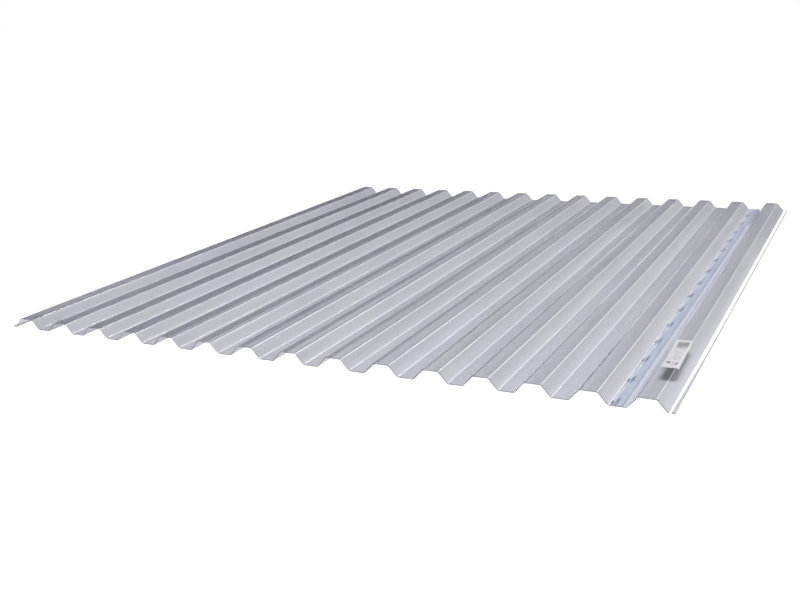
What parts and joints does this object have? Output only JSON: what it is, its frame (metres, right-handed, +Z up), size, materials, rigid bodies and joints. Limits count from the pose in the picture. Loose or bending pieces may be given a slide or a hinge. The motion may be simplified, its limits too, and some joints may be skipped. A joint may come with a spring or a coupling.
{
  "type": "trapezoidal pvc sheet",
  "caption": "Clear thin PVC roofing sheet bent into even trapezoidal waves, with a flat foot along each long edge, a printed film strip in one valley and a small paper label.",
  "frame": {"origin": "middle of the sheet's underside, on the plane that the valleys rest on", "axes": "+Z up through the thickness of the waves, +Y along the ribs away from the labelled end, +X across the ribs towards the labelled edge"},
  "size_m": [1.134, 1.25, 0.0172],
  "materials": {
    "clear_pvc": "clear gloss",
    "printed_film": "clear gloss",
    "label_paper": "matt"
  },
  "bodies": {
    "root": {"profiled_sheet": "clear_pvc", "film_strip": "printed_film", "paper_label": "label_paper"}
  },
  "joints": []
}
